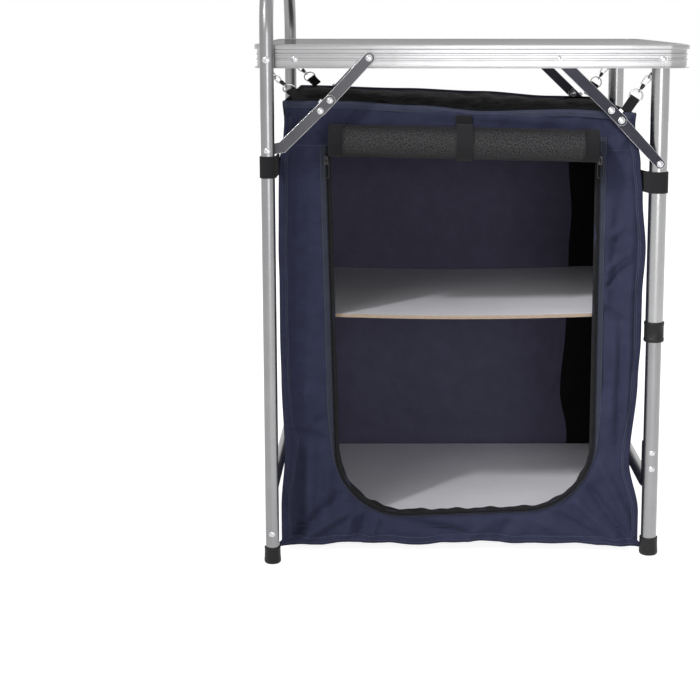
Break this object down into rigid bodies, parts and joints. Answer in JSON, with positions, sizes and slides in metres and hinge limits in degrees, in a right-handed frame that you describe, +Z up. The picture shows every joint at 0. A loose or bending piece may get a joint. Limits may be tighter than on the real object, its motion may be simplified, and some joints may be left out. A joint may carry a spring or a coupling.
{
  "type": "fabric camp kitchen cupboard",
  "caption": "Folding camp table with a fabric cupboard hung under its worktop: shelf, floor board, rolled zip door, hoop legs on the left and telescopic legs on the right.",
  "frame": {"origin": "on the floor, under the middle of the whole object's box", "axes": "+Z up, -Y towards the door side, +X to the right seen from the door side"},
  "size_m": [0.6, 0.5332, 0.8415],
  "materials": {
    "tube_aluminium": "satin anodised tube with fine lengthwise grain",
    "rail_aluminium": "satin anodised extrusion, drawn lengthwise",
    "brace_aluminium": "brushed dark grey flat bar with bright edges",
    "steel": "nickel-plated wire",
    "laminate": "light grey glossy laminate",
    "black_plastic": "moulded matt black plastic",
    "navy_cloth": "coated woven polyester, dark navy",
    "black_cloth": "black polyester with mesh",
    "webbing": "black woven webbing",
    "white_board": "white film on fibre board, tan cut edge",
    "zip_coil": "black nylon coil"
  },
  "bodies": {
    "frame": {"back_panel": "navy_cloth", "brace_lower_left_front": "brace_aluminium", "brace_lower_left_rear": "brace_aluminium", "brace_lower_right_front": "brace_aluminium", "brace_lower_right_rear": "brace_aluminium", "brace_upper_left_front": "brace_aluminium", "brace_upper_left_rear": "brace_aluminium", "brace_upper_right_front": "brace_aluminium", "brace_upper_right_rear": "brace_aluminium", "collar_front": "black_plastic", "collar_rear": "black_plastic", "floor_board": "white_board", "floor_panel": "navy_cloth", "front_panel": "navy_cloth", "left_cross_bar": "tube_aluminium", "left_foot_front": "black_plastic", "left_foot_rear": "black_plastic", "left_hoop": "tube_aluminium", "left_panel": "navy_cloth", "leg_strap_left_front": "webbing", "leg_strap_left_rear": "webbing", "leg_strap_right_front": "webbing", "leg_strap_right_rear": "webbing", "middle_shelf": "white_board", "rail_frame": "rail_aluminium", "right_panel": "navy_cloth", "right_upper_tube_front": "tube_aluminium", "right_upper_tube_rear": "tube_aluminium", "roll_strap": "webbing", "rolled_door": "black_cloth", "snap_hook_left_front": "steel", "snap_hook_left_rear": "steel", "snap_hook_right_front": "steel", "snap_hook_right_rear": "steel", "tab_ring_left_front": "steel", "tab_ring_left_rear": "steel", "tab_ring_right_front": "steel", "tab_ring_right_rear": "steel", "top_panel": "black_cloth", "webbing_tab_left_front": "webbing", "webbing_tab_left_rear": "webbing", "webbing_tab_right_front": "webbing", "webbing_tab_right_rear": "webbing", "worktop_board": "laminate", "zip_coil": "zip_coil"},
    "right_lower_legs": {"right_cross_bar": "tube_aluminium", "right_foot_front": "black_plastic", "right_foot_rear": "black_plastic", "right_lower_tube_front": "tube_aluminium", "right_lower_tube_rear": "tube_aluminium"},
    "left_zip_slider": {"zip_slider_left": "steel"},
    "right_zip_slider": {"zip_slider_right": "steel"},
    "left_zip_pull": {"zip_pull_left": "steel"},
    "right_zip_pull": {"zip_pull_right": "steel"},
    "gate_left_front": {"hook_gate_left_front": "steel"},
    "gate_left_rear": {"hook_gate_left_rear": "steel"},
    "gate_right_front": {"hook_gate_right_front": "steel"},
    "gate_right_rear": {"hook_gate_right_rear": "steel"}
  },
  "joints": [
    {"name": "right_leg_slide", "type": "slide", "parent": "frame", "child": "right_lower_legs", "axis": [0, 0, 1], "range_m": [0, 0.15]},
    {"name": "left_zip_slide", "type": "slide", "parent": "frame", "child": "left_zip_slider", "axis": [0.0226, 0, -0.9997], "range_m": [0, 0.395]},
    {"name": "right_zip_slide", "type": "slide", "parent": "frame", "child": "right_zip_slider", "axis": [0, 0, -1], "range_m": [0, 0.395]},
    {"name": "left_pull_hinge", "type": "hinge", "parent": "left_zip_slider", "child": "left_zip_pull", "pos_m": [-0.20222, -0.2139, 0.569], "axis": [-1, 0, 0], "range_deg": [0, 95]},
    {"name": "right_pull_hinge", "type": "hinge", "parent": "right_zip_slider", "child": "right_zip_pull", "pos_m": [0.18, -0.2139, 0.569], "axis": [-1, 0, 0], "range_deg": [0, 95]},
    {"name": "gate_left_front_hinge", "type": "hinge", "parent": "frame", "child": "gate_left_front", "pos_m": [-0.26139, -0.23812, 0.68102], "axis": [0, -0.6856, -0.7279], "range_deg": [0, 20], "stiffness_Nm_per_rad": 0.01},
    {"name": "gate_left_rear_hinge", "type": "hinge", "parent": "frame", "child": "gate_left_rear", "pos_m": [-0.25871, 0.24251, 0.68044], "axis": [0, -0.8159, 0.5782], "range_deg": [0, 20], "stiffness_Nm_per_rad": 0.01},
    {"name": "gate_right_front_hinge", "type": "hinge", "parent": "frame", "child": "gate_right_front", "pos_m": [0.24007, -0.2129, 0.67418], "axis": [0, -0.9915, -0.1301], "range_deg": [0, 20], "stiffness_Nm_per_rad": 0.01},
    {"name": "gate_right_rear_hinge", "type": "hinge", "parent": "frame", "child": "gate_right_rear", "pos_m": [0.23991, 0.22116, 0.67416], "axis": [0, -0.9946, -0.1037], "range_deg": [0, 20], "stiffness_Nm_per_rad": 0.01}
  ]
}
